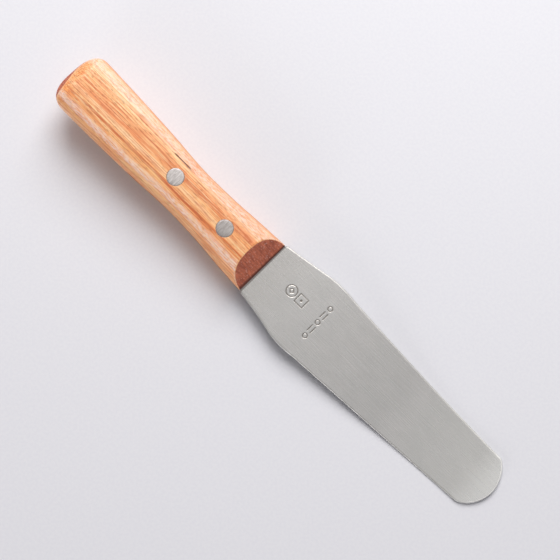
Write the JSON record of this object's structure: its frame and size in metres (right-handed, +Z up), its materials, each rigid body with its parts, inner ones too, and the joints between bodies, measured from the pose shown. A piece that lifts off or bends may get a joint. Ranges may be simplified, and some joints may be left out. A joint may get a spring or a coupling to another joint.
{
  "type": "palette knife",
  "caption": "Flat palette knife with a springy round-ended steel blade, wide at the shoulder, in a waisted one-piece wooden handle held by flush rivets.",
  "frame": {"origin": "centre of the bounding box, at table level, with the knife lying on the table", "axes": "+X along the knife from the handle to the blade's tip, +Y across the blade, +Z up from the table"},
  "size_m": [0.2194, 0.032, 0.0224],
  "materials": {
    "handle_wood": "satin, sanded and oiled, light orange-tan with fine lengthwise grain",
    "blade_steel": "satin stainless steel, brushed lengthwise",
    "rivet_steel": "ground flush, with cross-wise sanding scratches"
  },
  "bodies": {
    "handle": {"handle": "handle_wood", "front_rivet_tube": "rivet_steel", "front_rivet_pin": "rivet_steel", "rear_rivet_tube": "rivet_steel", "rear_rivet_pin": "rivet_steel"},
    "blade": {"blade": "blade_steel"}
  },
  "joints": [
    {"name": "blade_flex", "type": "hinge", "parent": "handle", "child": "blade", "pos_m": [0.0095, 0, 0.0056], "axis": [0, 1, 0], "range_deg": [-16, 16], "stiffness_Nm_per_rad": 6.5, "deforming": ["blade"]}
  ]
}
